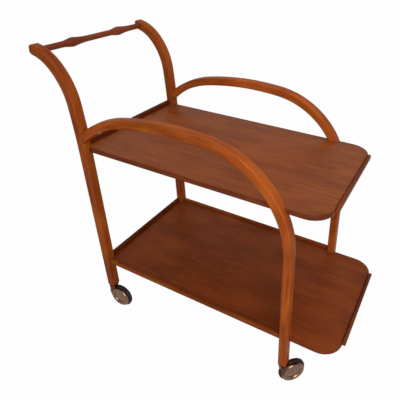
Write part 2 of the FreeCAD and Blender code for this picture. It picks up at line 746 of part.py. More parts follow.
hoop_dowels = doc.addObject("Part::Compound", "hoop_dowels")
hoop_dowels.Links = [hoop_dowel(f"hoop_dowel_{name}", side, 0) for name, side in SIDES.items()]
keep("hoop_dowels", hoop_dowels)


# Casters

def make_caster(name, foot_x, side, turn):
    swivel_y = leg_y * side
    wheel_at = (foot_x + S.caster_trail * cosine(turn), swivel_y + S.caster_trail * sine(turn),
                S.wheel_radius)
    foot = S.foot_height
    bore = S.stem_radius + S.running_gap
    boss_top = foot - S.flange_thickness - S.end_play
    stem_low = boss_top - S.stem_seat
    arm_inner = S.hub_arm_reach + S.end_play
    arm_outer = arm_inner + S.arm_thickness
    arm_middle = arm_inner + S.arm_thickness / 2

    socket = new_body(f"socket_{name}", foot_x, swivel_y)
    turned(socket, "XZ_Plane", [
        (bore, foot - S.flange_thickness), (S.flange_radius, foot - S.flange_thickness),
        (S.flange_radius, foot), (bore + S.socket_wall, foot),
        (bore + S.socket_wall, foot + S.socket_length), (bore, foot + S.socket_length)])
    keep(f"caster_socket_{name}", socket)

    stem_base = (foot_x, swivel_y, stem_low)
    stem = cylinder(f"stem_{name}", S.stem_radius, foot + S.stem_length - stem_low, stem_base)
    keep(f"caster_stem_{name}", stem)

    boss = new_body(f"boss_{name}", foot_x, swivel_y, turn=turn)
    neck_low = boss_top - S.neck_height
    arm_top = boss_top - S.boss_ease
    turned(boss, "XZ_Plane", [
        (0, neck_low), (S.neck_radius, neck_low), (S.boss_radius, arm_top), (S.flange_radius, boss_top),
        (0, boss_top)])
    saddle = new_sketch(boss, f"saddle_{name}", "XZ_Plane")
    disc(saddle, S.caster_trail, S.wheel_radius, S.wheel_radius + S.tyre_room)
    pad(boss, saddle, 2 * S.boss_radius, "Pocket")
    arm = new_body(f"arm_{name}", foot_x + arm_middle * sine(turn), swivel_y - arm_middle * cosine(turn),
                   turn=turn)
    sketch = new_sketch(arm, f"arm_{name}_outline", "XZ_Plane")
    arm_outline(sketch, arm_top)
    pad(arm, sketch, S.arm_thickness)
    stem_hole = cylinder(f"stem_hole_{name}", S.stem_radius + S.glue_gap, S.stem_seat, stem_base)
    cut(f"caster_horn_{name}", fused(f"horn_blank_{name}", [boss, arm]), [stem_hole])

    open_end = S.hub_open_reach + S.end_play
    axle = new_body(f"axle_{name}", *wheel_at, turn=turn)
    turned(axle, "XY_Plane", [
        (0, -arm_outer - S.axle_head_height), (S.axle_head_radius, -arm_outer - S.axle_head_height),
        (S.axle_head_radius, -arm_outer), (S.axle_radius, -arm_outer), (S.axle_radius, open_end),
        (S.axle_end_radius, open_end), (S.axle_end_radius, open_end + S.axle_end_height),
        (0, open_end + S.axle_end_height)])
    keep(f"caster_axle_{name}", axle)

    hub_bore = S.axle_radius + S.running_gap
    rim_inner = S.rim_radius - S.rim_wall
    face_y = -S.hub_arm_reach
    web = face_y + S.web_thickness
    wheel = new_body(f"wheel_{name}", *wheel_at, turn=turn)
    turned(wheel, "XY_Plane", [
        (hub_bore, face_y), (S.rim_radius, face_y), (S.rim_radius, S.rim_width / 2),
        (rim_inner, S.rim_width / 2), (rim_inner, web), (S.hub_radius, web),
        (S.hub_radius, S.hub_open_reach), (hub_bore, S.hub_open_reach)])
    keep(f"caster_wheel_{name}", wheel)

    cap = new_body(f"cap_{name}", *wheel_at, turn=turn)
    pocket = S.axle_head_radius + S.end_play
    seat_y = -arm_outer
    rim_y = seat_y - S.cap_wall
    crown_y = rim_y - S.cap_dome_rise
    turned(cap, "XY_Plane", [
        (0, crown_y), (S.cap_dome_radius, crown_y), (S.cap_groove_radius, rim_y - S.cap_groove_rise),
        (S.cap_ring_radius, rim_y - S.cap_ring_rise), (S.cap_radius, rim_y), (S.cap_radius, seat_y),
        (pocket, seat_y), (pocket, crown_y + S.cap_wall), (0, crown_y + S.cap_wall)])
    keep(f"caster_cap_{name}", cap)

    tyre = new_body(f"tyre_{name}", *wheel_at, turn=turn)
    inside = S.rim_radius + S.glue_gap
    shoulder_radius = S.wheel_radius - S.tyre_shoulder
    flank = S.tyre_width / 2
    tread = S.tread_width / 2
    turned(tyre, "XY_Plane", [
        (inside, -flank), (shoulder_radius, -flank), (S.wheel_radius, -tread), (S.wheel_radius, tread),
        (shoulder_radius, flank), (inside, flank)])
    keep(f"caster_tyre_{name}", tyre)


def arm_outline(sketch, top):
    """Arm from the boss to the axle: two straight sides that run tangent into a round end."""
    half = S.arm_root_width / 2
    centre = flat(S.caster_trail, S.wheel_radius)
    radius = S.arm_end_radius.number
    spots = []
    for x, turn_sign in ((-half, 1), (half, -1)):
        corner = flat(x, top)
        away = centre - corner
        swing = math.acos(radius / away.Length)
        facing = math.atan2(-away.y, -away.x) + turn_sign * swing
        spots.append((corner, centre + Vector(math.cos(facing), math.sin(facing), 0) * radius, facing))
    (rear_top, rear_low, rear_angle), (front_top, front_low, front_angle) = spots
    end_angle = front_angle if front_angle > rear_angle else front_angle + 2 * math.pi
    rear = sketch.addGeometry(Part.LineSegment(rear_top, rear_low))
    circle = Part.Circle(centre, Vector(0, 0, 1), radius)
    end = sketch.addGeometry(Part.ArcOfCircle(circle, rear_angle, end_angle))
    front = sketch.addGeometry(Part.LineSegment(front_low, front_top))
    head = sketch.addGeometry(Part.LineSegment(front_top, rear_top))
    pin(sketch, rear, 1, -half, top)
    pin(sketch, front, 2, half, top)
    pin(sketch, end, 3, S.caster_trail, S.wheel_radius)
    datum(sketch, S.arm_end_radius, "Radius", end)
    rule(sketch, "Tangent", rear, 2, end, 1)
    rule(sketch, "Tangent", end, 2, front, 1)
    rule(sketch, "Coincident", front, 2, head, 1)
    rule(sketch, "Coincident", head, 2, rear, 1)
    disc(sketch, S.caster_trail, S.wheel_radius, S.axle_radius + S.glue_gap)


for name, side in SIDES.items():
    make_caster(f"front_{name}", foot_middle_front, side, getattr(S, f"turn_front_{name}"))
    make_caster(f"rear_{name}", foot_middle_rear, side, getattr(S, f"turn_rear_{name}"))


# Check and write

doc.recompute()
for made in doc.Objects:
    faults = [state for state in made.State if state in ("Invalid", "Error")]
    if faults:
        raise RuntimeError(f"{made.Label}: {faults}")
for label, made in nodes.items():
    if made.Shape.isNull() or not made.Shape.isValid() or not made.Shape.Solids:
        raise RuntimeError(f"{label}: no valid solid")
os.makedirs("parts", exist_ok=True)
for label, made in nodes.items():
    made.Shape.exportStep(f"parts/{label}.step")
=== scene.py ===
"""Bentwood tea trolley: its visible wood, metal and rubber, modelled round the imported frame, and a stage."""
import json
import math
from collections import namedtuple

import bmesh
import bpy
import numpy as np
from bpy.props import FloatProperty, FloatVectorProperty, PointerProperty
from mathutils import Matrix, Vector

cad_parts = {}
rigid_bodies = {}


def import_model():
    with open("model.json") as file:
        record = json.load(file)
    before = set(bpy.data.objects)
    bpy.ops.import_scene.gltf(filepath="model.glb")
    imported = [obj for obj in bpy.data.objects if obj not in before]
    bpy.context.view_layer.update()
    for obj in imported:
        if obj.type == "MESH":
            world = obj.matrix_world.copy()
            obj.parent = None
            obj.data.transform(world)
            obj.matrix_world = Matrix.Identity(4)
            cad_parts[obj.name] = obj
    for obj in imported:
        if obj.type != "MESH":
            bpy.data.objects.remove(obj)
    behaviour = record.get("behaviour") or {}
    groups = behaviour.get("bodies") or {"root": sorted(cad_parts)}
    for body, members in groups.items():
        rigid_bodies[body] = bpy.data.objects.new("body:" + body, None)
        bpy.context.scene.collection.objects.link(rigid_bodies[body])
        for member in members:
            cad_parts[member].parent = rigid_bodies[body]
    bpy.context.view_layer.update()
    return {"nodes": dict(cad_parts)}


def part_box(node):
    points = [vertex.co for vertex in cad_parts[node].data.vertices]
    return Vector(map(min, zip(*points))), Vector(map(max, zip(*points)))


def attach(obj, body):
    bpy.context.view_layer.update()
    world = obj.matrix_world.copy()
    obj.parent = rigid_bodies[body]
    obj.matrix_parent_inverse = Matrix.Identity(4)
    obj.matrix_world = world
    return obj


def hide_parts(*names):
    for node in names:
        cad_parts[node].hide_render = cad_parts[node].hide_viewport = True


for leftover in list(bpy.data.objects):
    bpy.data.objects.remove(leftover)
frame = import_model()

bl_info = {
    "name": "Bentwood tea trolley",
    "version": (1, 0, 0),
    "blender": (4, 5, 0),
    "location": "View3D > Sidebar > Trolley",
    "description": "Models the visible wood, metal and rubber of a tea trolley and sets its stage",
    "category": "Object",
}

SIDES = ("left", "right")
CORNERS = [f"{end}_{side}" for end in ("front", "rear") for side in SIDES]
LIPS = ("top_rear_lip", "top_front_lip", "bottom_rear_lip", "bottom_front_lip", "bottom_side_lip_left",
        "bottom_side_lip_right")

# Metres by which the grain of each bent piece is moved along it, so that no two look alike
GRAIN_STARTS = {"rear_upright_left": 1.1, "rear_upright_right": 7.7, "front_hoop_left": 8.8,
                "front_hoop_right": 6.2}

# Noises: grain per metre along and across a piece, detail, and the range that is stretched
Noise = namedtuple("Noise", "grain detail low high", defaults=(0.0, 1.0))
STREAKS = Noise((11.0, 170.0, 170.0), 5.0, 0.30, 0.70)
CLOUDS = Noise((6.0, 16.0, 16.0), 3.0, 0.34, 0.66)
PATCHES = Noise((9.0, 22.0, 22.0), 2.0, 0.50, 0.72)
PORES = Noise((60.0, 1500.0, 1500.0), 2.0, 0.60, 0.74)
METAL_CLOUDS = Noise((120.0, 120.0, 120.0), 3.0, 0.30, 0.70)
METAL_SCRATCHES = Noise((1400.0, 1400.0, 1400.0), 2.0)
RUBBER_GRAIN = Noise((900.0, 900.0, 900.0), 3.0)
RUBBER_DUST = Noise((60.0, 60.0, 60.0), 3.0, 0.50, 0.80)
NOISE_ROUGHNESS = 0.55

# Neck of a horn: how far its curve bends from the stem, at which shares of its height, and where it ends
NECK_OFFSETS = (0.001, 0.007, -0.010)
NECK_HEIGHT_SHARES = (1.0, 0.62, 0.45)
NECK_LAST = math.radians(198)

# Width of the neck: the shares of its way down at which it is set, and what is left of it at the second
NECK_PLACES = (0, 0.3, 0.65, 1)
NECK_SHOULDER_SHARE = 0.92

# How far the outer face of the neck falls by its end, as a share of its rise
NECK_FALL_SHARE = 1.2

# Size and place of each lamp, and the place they all face
LAMPS = {"key": (1.4, (1.15, -1.6, 1.3)), "fill": (1.4, (0.2, 0.3, 2.0)), "low": (0.35, (0.75, -1.7, 0.3))}
LAMP_AIM = (0, 0, 0.35)

# Heights in the sky, as sines, between which it dims for mirrors
SKY_DIMS = (0.1, 0.45)


# Properties

def tone(code):
    """Linear colour of a six figure sRGB code."""
    level = np.array([int(code[at:at + 2], 16) for at in (0, 2, 4)]) / 255
    return tuple(np.where(level > 0.04045, ((level + 0.055) / 1.055) ** 2.4, level / 12.92).tolist())


def length(name, description, default):
    """Property in metres."""
    return FloatProperty(name=name, description=description, default=default, unit="LENGTH", precision=4)


def angle(name, description, degrees):
    """Property for an angle, given in degrees."""
    return FloatProperty(name=name, description=description, default=math.radians(degrees), unit="ROTATION")


def colour(name, description, code):
    """Property for a colour, given as an sRGB code."""
    return FloatVectorProperty(name=name, description=description, default=tone(code), subtype="COLOR",
                               min=0, max=1)


def share(name, description, default):
    """Property from 0 to 1."""
    return FloatProperty(name=name, description=description, default=default, subtype="FACTOR", min=0, max=1)


def power(name, description, default):
    """Property for a lamp, in watts."""
    return FloatProperty(name=name, description=description, default=default, unit="POWER")


class TrolleyShape(bpy.types.PropertyGroup):
    """Sizes of the bent wood, the turned bar, the boards and the casters."""

    foot_height: length("Foot height", "Underside of the legs above the floor", 0.079)
    leg_width: length("Leg width", "Leg section across the trolley", 0.0288)
    arris: length("Arris", "Rounding of the long edges of the bent wood", 0.0046)
    upright_depth: length("Upright depth", "Upright section in the plane of the bend", 0.0244)
    upright_foot: length("Upright foot", "Front face of the uprights at the foot", -0.2696)
    upright_lean: angle("Upright lean", "Lean of the uprights to the rear", 3.3)
    upright_straight: length("Upright straight", "Straight run of the uprights", 0.4540)
    sweep_radius: length("Sweep radius", "Slow curve above the straight run", 1.780)
    sweep_angle: angle("Sweep angle", "Turn of the slow curve", 4.2)
    bend_radius: length("Bend radius", "Main bend to the rear", 0.174)
    bend_angle: angle("Bend angle", "Turn of the main bend", 38.6)
    curl_radius: length("Curl radius", "Tighter bend that ends in the tip", 0.121)
    curl_angle: angle("Curl angle", "Turn of the tighter bend", 37.5)
    tip_upper_radius: length("Tip upper radius", "Rounding of the upper corner of the tip", 0.0065)
    tip_lower_radius: length("Tip lower radius", "Rounding of the lower corner of the tip", 0.012)
    hoop_depth: length("Hoop depth", "Hoop section in the plane of the bend", 0.0226)
    hoop_foot: length("Hoop foot", "Front face of the front legs at the foot", 0.3104)
    hoop_lean: angle("Hoop lean", "Lean of the front legs to the rear", 3.5)
    hoop_straight: length("Hoop straight", "Straight run of the front legs", 0.3562)
    shoulder_radius: length("Shoulder radius", "Bend from the leg into the arch", 0.248)
    shoulder_angle: angle("Shoulder angle", "Turn of that bend", 80.2)
    crown_radius: length("Crown radius", "Flat crown of the arch", 0.803)
    crown_angle: angle("Crown angle", "Turn of the crown", 17.2)
    tail_radius: length("Tail radius", "Bend from the crown down to the upright", 0.274)
    bar_radius: length("Bar radius", "Push bar between its nodes", 0.0078)
    bar_node: length("Bar node", "Push bar radius at its nodes", 0.0121)
    bar_node_place: length("Bar node place", "Half the distance between the two nodes", 0.0884)
    bar_node_shift: length("Bar node shift", "Middle of the nodes from the middle of the push bar", 0.0032)
    bar_flare: length("Bar flare", "Flare that leads up to a node", 0.039)
    bar_cove: length("Bar cove", "Cove that leads down from a node", 0.055)
    bar_blend: length("Bar blend", "Softening of the peaks of the nodes", 0.0020)
    tray_corner: length("Tray corner", "Front corners of the trays, seen from above", 0.054)
    tray_edge: length("Tray edge", "Rounding of the edges of the boards", 0.0032)
    lip_edge: length("Lip edge", "Rounding of the lip edges", 0.0015)
    rim_radius: length("Rim radius", "Seat of the tyre", 0.0322)
    cap_seat: length("Cap seat", "Back of the hub cap from the middle of the wheel", 0.0080)
    cap_wall: length("Cap wall", "Rolled edge of the cap", 0.0009)
    bead_radius: length("Bead radius", "Crest of the round bead of the hub cap", 0.0262)
    bead_half: length("Bead half width", "Half the width of that bead", 0.0064)
    bead_rise: length("Bead rise", "That crest above the edge of the cap", 0.0056)
    dish_rise: length("Dish rise", "Foot of the dish inside the bead, above the edge", 0.0015)
    dome_rise: length("Dome rise", "Middle of the dish above its foot", 0.0016)
    cap_pin: length("Cap pin", "Smallest ring in the middle of the cap", 0.0002)
    neck_drop: length("Neck drop", "Start of the neck below the leg", 0.005)
    neck_width: length("Neck width", "Neck of the horn under the leg", 0.0230)
    neck_waist: length("Neck waist", "Neck where it joins the bead", 0.0130)
    neck_end: length("Neck end", "Neck where it ends in the bead", 0.0030)
    neck_rise: length("Neck rise", "Neck beyond the crest of the bead", 0.0005)
    neck_sink: length("Neck sink", "Inner face of the neck behind the cap", 0.0012)
    tyre_half: length("Tyre half width", "Half the width of the tyre", 0.0065)
    tyre_gap: length("Tyre gap", "Tyre above its seat", 0.0001)
    tyre_round: length("Tyre round", "Rounding of the tread", 0.0048)


class TrolleyFinish(bpy.types.PropertyGroup):
    """Colours of the finishes."""

    hoop_light: colour("Hoop light", "Pale grain of the front hoops", "ba5c24")
    hoop_dark: colour("Hoop dark", "Dark grain of the front hoops", "7b340d")
    upright_light: colour("Upright light", "Pale grain of the rear uprights", "aa541f")
    upright_dark: colour("Upright dark", "Dark grain of the rear uprights", "76310d")
    bar_light: colour("Bar light", "Pale grain of the push bar", "8c3e1f")
    bar_dark: colour("Bar dark", "Dark grain of the push bar", "682a12")
    top_tray_light: colour("Top tray light", "Pale grain of the top tray's veneer", "a45627")
    top_tray_dark: colour("Top tray dark", "Dark grain of the top tray's veneer", "682d10")
    bottom_tray_light: colour("Bottom tray light", "Pale grain of the bottom tray's veneer", "9a4719")
    bottom_tray_dark: colour("Bottom tray dark", "Dark grain of the bottom tray's veneer", "5f240a")
    edge_light: colour("Edge light", "Pale grain of the boards' edges", "7a3618")
    edge_dark: colour("Edge dark", "Dark grain of the boards' edges", "58240f")
    amber: colour("Amber", "Golden patches of the lacquered wood", "b26a1c")
    pore: colour("Pore", "Open pores of the wood", "3a1708")
    # The rear and front lips are darker partly as painted shade, for the contact shadow on their inner faces,
    # and partly for varnish built up there
    rear_lip_light: colour("Rear lip light", "Pale grain of the rear lips", "6a2c11")
    rear_lip_dark: colour("Rear lip dark", "Dark grain of the rear lips", "4e1c0a")
    front_lip_light: colour("Front lip light", "Pale grain of the front lips", "7f4022")
    front_lip_dark: colour("Front lip dark", "Dark grain of the front lips", "5e2a14")
    side_lip_light: colour("Side lip light", "Pale grain of the side lips", "92451b")
    side_lip_dark: colour("Side lip dark", "Dark grain of the side lips", "6a2f10")
    metal: colour("Metal", "Plated metal of the hub caps", "9a7760")
    # Horn: the caps' plating, made darker as painted shade under the legs
    horn: colour("Horn", "Darker plating of the horns and sockets", "70462f")
    rubber: colour("Rubber", "Tyres", "2a1a19")


class TrolleyStage(bpy.types.PropertyGroup):
    """Camera, floor and light."""

    camera_place: FloatVectorProperty(name="Camera place", description="Where the camera stands",
                                      default=(0.4876, -0.8928, 1.0373), subtype="TRANSLATION",
                                      unit="LENGTH")
    camera_turn: FloatVectorProperty(name="Camera turn", description="How the camera is turned",
                                     default=tuple(math.radians(turn) for turn in (58.354, -1.096, 29.224)),
                                     subtype="EULER", unit="ROTATION")
    camera_lens: FloatProperty(name="Lens", description="Focal length in millimetres", default=37.65)
    camera_shift: FloatVectorProperty(name="Shift", description="Shift of the picture",
                                      default=(-0.0598, -0.0260), size=2)
    floor_colour: colour("Floor", "Pale floor", "b4b4b4")
    floor_half: length("Floor half", "Half the side of the floor", 60.0)
    floor_white: share("Floor white", "White in the floor as the camera sees it", 0.98)
    floor_mirrored: share("Floor mirrored", "White in the floor as mirrors see it, of that share", 0.45)
    horizon: share("Horizon", "Light of the horizon as mirrors see it", 0.55)
    sky: FloatProperty(name="Sky", description="Strength of the even light from all round", default=0.42)
    key: power("Key", "Power of the large lamp beside the camera", 26.0)
    fill: power("Fill", "Power of the lamp above", 7.0)
    low: power("Low", "Power of the small lamp near the floor", 1.5)


# Meshes

def put(name, points, along, around, ends="flat"):
    """Piece over a grid of points: rows run along it, columns run round it and close.

    ends is "flat" for a face over the first and the last row, "joined" where the last row meets the first.
    The UV map holds metres along and round the piece, so that grain follows its bends.
    """
    rows, columns = points.shape[:2]
    joined = ends == "joined"
    row, column = np.meshgrid(np.arange(rows if joined else rows - 1), np.arange(columns), indexing="ij")
    steps = ((0, 0), (0, 1), (1, 1), (1, 0))
    quads = np.stack([(row + r) % rows * columns + (column + c) % columns for r, c in steps], axis=-1)
    uv = np.stack([np.stack([along[row + r], around[column + c]], axis=-1) for r, c in steps], axis=2)
    faces = quads.reshape(-1, 4).tolist()
    uv = uv.reshape(-1, 2)
    if not joined:
        first = np.arange(columns)
        faces += [first.tolist(), (first + (rows - 1) * columns).tolist()]
        uv = np.concatenate([uv] + [np.stack([np.full(columns, along[end]), around[:-1]], axis=-1)
                                    for end in (0, -1)])
    mesh = bpy.data.meshes.new(name)
    mesh.from_pydata(points.reshape(-1, 3), [], faces)
    mesh.uv_layers.new(name="grain").data.foreach_set("uv", uv.astype(np.float32).ravel())
    smooth = np.ones(len(faces), dtype=bool)
    if not joined:
        smooth[-2:] = False
    mesh.polygons.foreach_set("use_smooth", smooth)
    work = bmesh.new()
    work.from_mesh(mesh)
    bmesh.ops.recalc_face_normals(work, faces=work.faces)
    work.to_mesh(mesh)
    work.free()
    piece = bpy.data.objects.new(name, mesh)
    bpy.context.scene.collection.objects.link(piece)
    return piece


def dress(piece, body, slot, material, *nodes):
    """Give a piece its material, let it ride on its body and stand for its nodes."""
    piece.data.materials.append(material)
    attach(piece, body)
    if nodes:
        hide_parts(*nodes)


def paint(node, material):
    """Give a node of the frame a material."""
    mesh = frame["nodes"][node].data
    mesh.materials.clear()
    mesh.materials.append(material)


def travelled(points):
    """Distance along a line of points, from its first."""
    steps = np.linalg.norm(np.diff(points, axis=0), axis=1)
    return np.concatenate([[0], np.cumsum(steps)])


def section(steps=6):
    """A rectangle with round corners, as four columns: signs of the corner, and direction of its rounding.

    A point of the outline is the corner's sign times (half side less radius), plus radius times direction.
    Each side also has a point near either end, so that its middle stays flat when shaded.
    """
    near = 0.86
    turns = np.linspace(0, math.pi / 2, steps)
    columns = []
    for corner, (sign_a, sign_b) in enumerate(((1, 1), (-1, 1), (-1, -1), (1, -1))):
        facing = turns + corner * math.pi / 2
        signs = np.tile((sign_a, sign_b), (steps, 1)).astype(float)
        columns.append(np.column_stack([signs, np.cos(facing), np.sin(facing)]))
        out = facing[-1]
        along_a = corner % 2 == 0
        for place in (near, -near):
            spot = (sign_a * place, sign_b) if along_a else (sign_a, sign_b * place)
            columns.append(np.array([[*spot, math.cos(out), math.sin(out)]]))
    return np.concatenate(columns)


OUTLINE = section()


def outline_points(half_a, half_b, radius):
    """Round cornered rectangles, one a row: points across (a) and up (b), from half sides and radius."""
    half_a, half_b, radius = (np.asarray(size, dtype=float)[:, None] for size in (half_a, half_b, radius))
    a = OUTLINE[:, 0] * (half_a - radius) + OUTLINE[:, 2] * radius
    b = OUTLINE[:, 1] * (half_b - radius) + OUTLINE[:, 3] * radius
    return a, b


def girth(half_a, half_b, radius):
    """Distance round a round cornered rectangle, with the start repeated at the end."""
    a, b = outline_points([half_a], [half_b], [radius])
    ring = np.column_stack([a[0], b[0]])
    return travelled(np.concatenate([ring, ring[:1]]))


def bent_path(foot, lean, straight, bends, spacing=0.006):
    """Front face of a bent leg in its own plane: a straight run, then arcs that turn to the rear.

    Gives x, z and heading for each place; an arc's point is its centre plus its radius out of the turn.
    """
    heading = math.pi / 2 + lean
    reach = np.linspace(0, straight, int(straight / spacing))
    x, z = [foot[0] + reach * math.cos(heading)], [foot[1] + reach * math.sin(heading)]
    headings = [np.full(reach.shape, heading)]
    for radius, turn in bends:
        centre_x = x[-1][-1] - radius * math.sin(heading)
        centre_z = z[-1][-1] + radius * math.cos(heading)
        facing = heading + np.linspace(0, turn, max(int(radius * turn / spacing), 4))[1:]
        x.append(centre_x + radius * np.sin(facing))
        z.append(centre_z - radius * np.cos(facing))
        headings.append(facing)
        heading += turn
    return np.concatenate(x), np.concatenate(z), np.concatenate(headings)


def carried(path, y, half_width, low, high, radius):
    """A round cornered section carried along a bent path, from low to high behind its front face."""
    x, z, heading = (part[:, None] for part in path)
    across, up = outline_points(half_width, (high - low) / 2, radius)
    behind = ((low + high) / 2)[:, None] + up
    return np.stack([x - np.sin(heading) * behind, y + across, z + np.cos(heading) * behind], axis=-1)


def level_foot(points, heading, foot_height):
    """Slide the first row along the leg until it is level with the foot."""
    slip = (foot_height - points[0, :, 2]) / math.sin(heading)
    points[0, :, 0] += slip * math.cos(heading)
    points[0, :, 2] = foot_height


def end_ease(count, radius):
    """Distances from an end over a quarter round, and how far the outline draws in at each of them."""
    turn = np.linspace(0, math.pi / 2, count)
    return radius * (1 - np.cos(turn)), radius * (1 - np.sin(turn))


def axle_frame(turn):
    """Directions along a level axle, across it, and up."""
    along = np.array([-math.sin(turn), math.cos(turn), 0])
    across = np.array([math.cos(turn), math.sin(turn), 0])
    return along, across, np.array([0, 0, 1])


def turned(name, centre, axis_turn, place, radius, columns, ends="flat"):
    """A turned piece: radius as a function of place along a level axis, carried round that axis."""
    round_ = np.linspace(0, 2 * math.pi, columns, endpoint=False)
    along_axis, across_axis, up = axle_frame(axis_turn)
    out = np.cos(round_)[:, None] * across_axis + np.sin(round_)[:, None] * up
    points = centre + place[:, None, None] * along_axis + radius[:, None, None] * out
    line = np.column_stack([place, radius])
    if ends == "joined":
        line = np.concatenate([line, line[:1]])
    around = np.linspace(0, 2 * math.pi * radius.max(), columns + 1)
    return put(name, points, travelled(line), around, ends)


# Materials

def shade(tree, kind, inputs=None, **settings):
    """Add a shader node; inputs are numbers or the outputs of other nodes."""
    made = tree.nodes.new(f"ShaderNode{kind}")
    for name, value in settings.items():
        setattr(made, name, value)
    for name, value in (inputs or {}).items():
        if isinstance(value, bpy.types.NodeSocket):
            tree.links.new(value, made.inputs[name])
        else:
            made.inputs[name].default_value = value
    return made


def blended(tree, factor, first, second):
    """Mix two colours by a factor."""
    mix = shade(tree, "Mix", {0: factor, 6: first, 7: second}, data_type="RGBA")
    return mix.outputs[2]


def combined(tree, operation, first, second):
    """Combine two values by an operation."""
    return shade(tree, "Math", {0: first, 1: second}, operation=operation).outputs[0]


def ranged(tree, value, low=0.0, high=1.0, to_low=0.0, to_high=1.0):
    """Stretch a value's range onto another."""
    made = shade(tree, "MapRange", {"Value": value, "From Min": low, "From Max": high, "To Min": to_low,
                                    "To Max": to_high})
    return made.outputs["Result"]


def new_material(name):
    """A material with its node tree and its surface shader."""
    material = bpy.data.materials.new(name)
    material.use_nodes = True
    return material, material.node_tree, material.node_tree.nodes["Principled BSDF"]


def finish_of(name):
    """A finish's colour with full cover."""
    return (*getattr(bpy.context.scene.trolley_finish, name), 1.0)


def layer(tree, vector, noise, amount=1.0):
    """Noise drawn out along the grain, from 0 to an amount."""
    mapping = shade(tree, "Mapping", {"Vector": vector, "Scale": noise.grain})
    made = shade(tree, "TexNoise", {"Vector": mapping.outputs["Vector"], "Scale": 1.0,
                                    "Detail": noise.detail, "Roughness": NOISE_ROUGHNESS})
    return ranged(tree, made.outputs["Fac"], noise.low, noise.high, to_high=amount)


def bumped(tree, surface, height, strength, distance):
    """Give a surface small heights."""
    bump = shade(tree, "Bump", {"Height": height, "Strength": strength, "Distance": distance})
    tree.links.new(bump.outputs["Normal"], surface.inputs["Normal"])


def wood(name, coordinate, tones, gloss, shine, patches=0.3, spread=0.8):
    """Lacquered wood: long streaks, fine pores, slow clouds of colour and golden patches.

    patches is the share of gold at its strongest; spread is wide for calm wood and narrow for lively grain.
    """
    material, tree, surface = new_material(name)
    vector = shade(tree, "TexCoord").outputs[coordinate]
    streak = layer(tree, vector, STREAKS)
    cloud = layer(tree, vector, CLOUDS)
    patch = layer(tree, vector, PATCHES, amount=patches)
    pore = layer(tree, vector, PORES, amount=0.45)
    tint = ranged(tree, combined(tree, "ADD", streak, cloud), 1.0 - spread, 1.0 + spread)
    body = blended(tree, tint, finish_of(f"{tones}_dark"), finish_of(f"{tones}_light"))
    body = blended(tree, patch, body, finish_of("amber"))
    tree.links.new(blended(tree, pore, body, finish_of("pore")), surface.inputs["Base Color"])
    roughness = ranged(tree, cloud, to_low=gloss - 0.04, to_high=gloss + 0.05)
    tree.links.new(roughness, surface.inputs["Roughness"])
    bumped(tree, surface, streak, strength=0.06, distance=0.0004)
    surface.inputs["Specular IOR Level"].default_value = shine
    return material


def plated(name, tones):
    """Plated metal, a little worn: clouds in its roughness and colour, and fine scratches."""
    material, tree, surface = new_material(name)
    vector = shade(tree, "TexCoord").outputs["Object"]
    cloud = layer(tree, vector, METAL_CLOUDS)
    metal = finish_of(tones)
    worn = blended(tree, 0.55, metal, finish_of("pore"))
    wear = ranged(tree, cloud, to_high=0.35)
    tree.links.new(blended(tree, wear, metal, worn), surface.inputs["Base Color"])
    tree.links.new(ranged(tree, cloud, to_low=0.12, to_high=0.22), surface.inputs["Roughness"])
    bumped(tree, surface, layer(tree, vector, METAL_SCRATCHES), strength=0.05, distance=0.0002)
    surface.inputs["Metallic"].default_value = 1.0
    return material


def rubber():
    """Dark rubber with dust in fine grain."""
    material, tree, surface = new_material("tyre_rubber")
    vector = shade(tree, "TexCoord").outputs["Object"]
    dust = layer(tree, vector, RUBBER_DUST, amount=0.12)
    dusty = blended(tree, dust, finish_of("rubber"), finish_of("metal"))
    tree.links.new(dusty, surface.inputs["Base Color"])
    bumped(tree, surface, layer(tree, vector, RUBBER_GRAIN), strength=0.15, distance=0.0003)
    surface.inputs["Roughness"].default_value = 0.6
    surface.inputs["Specular IOR Level"].default_value = 0.3
    return material


# Operators

class Piece:
    """What the operators share."""

    bl_options = {"REGISTER", "UNDO"}

    @property
    def shape(self):
        """The sizes that the user has set."""
        return bpy.context.scene.trolley_shape


class TROLLEY_OT_uprights(Piece, bpy.types.Operator):
    """Rear uprights: a round cornered section along a straight run and three bends, ended in a round tip."""

    bl_idname = "trolley.uprights"
    bl_label = "Rear uprights"

    def execute(self, context):
        shape = self.shape
        bends = [(shape.sweep_radius, shape.sweep_angle), (shape.bend_radius, shape.bend_angle),
                 (shape.curl_radius, shape.curl_angle)]
        path = bent_path((shape.upright_foot, shape.foot_height), shape.upright_lean, shape.upright_straight,
                         bends)
        x, z, heading = path
        run = travelled(np.column_stack([x, z]))
        from_tip, _ = end_ease(14, shape.tip_lower_radius)
        stops = np.concatenate([run[run < run[-1] - shape.tip_lower_radius], (run[-1] - from_tip)[::-1]])
        path = [np.interp(stops, run, part) for part in path]
        left = run[-1] - stops
        tip_draw = [radius - np.sqrt(np.maximum(radius ** 2 - np.maximum(radius - left, 0) ** 2, 0))
                    for radius in (shape.tip_upper_radius, shape.tip_lower_radius, shape.arris)]
        half_width = shape.leg_width / 2 - tip_draw[2]
        material = wood("bentwood_uprights", "UV", "upright", gloss=0.34, shine=0.05)
        around = girth(shape.leg_width / 2, shape.upright_depth / 2, shape.arris)
        radius = np.full(stops.shape, shape.arris)
        for side in SIDES:
            node = f"rear_upright_{side}"
            low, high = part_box(node)
            y = (low.y + high.y) / 2
            points = carried(path, y, half_width, tip_draw[0], shape.upright_depth - tip_draw[1], radius)
            level_foot(points, path[2][0], shape.foot_height)
            piece = put(f"bent_{node}", points, stops + GRAIN_STARTS[node], around)
            dress(piece, "frame", "bentwood", material, node)
        return {"FINISHED"}


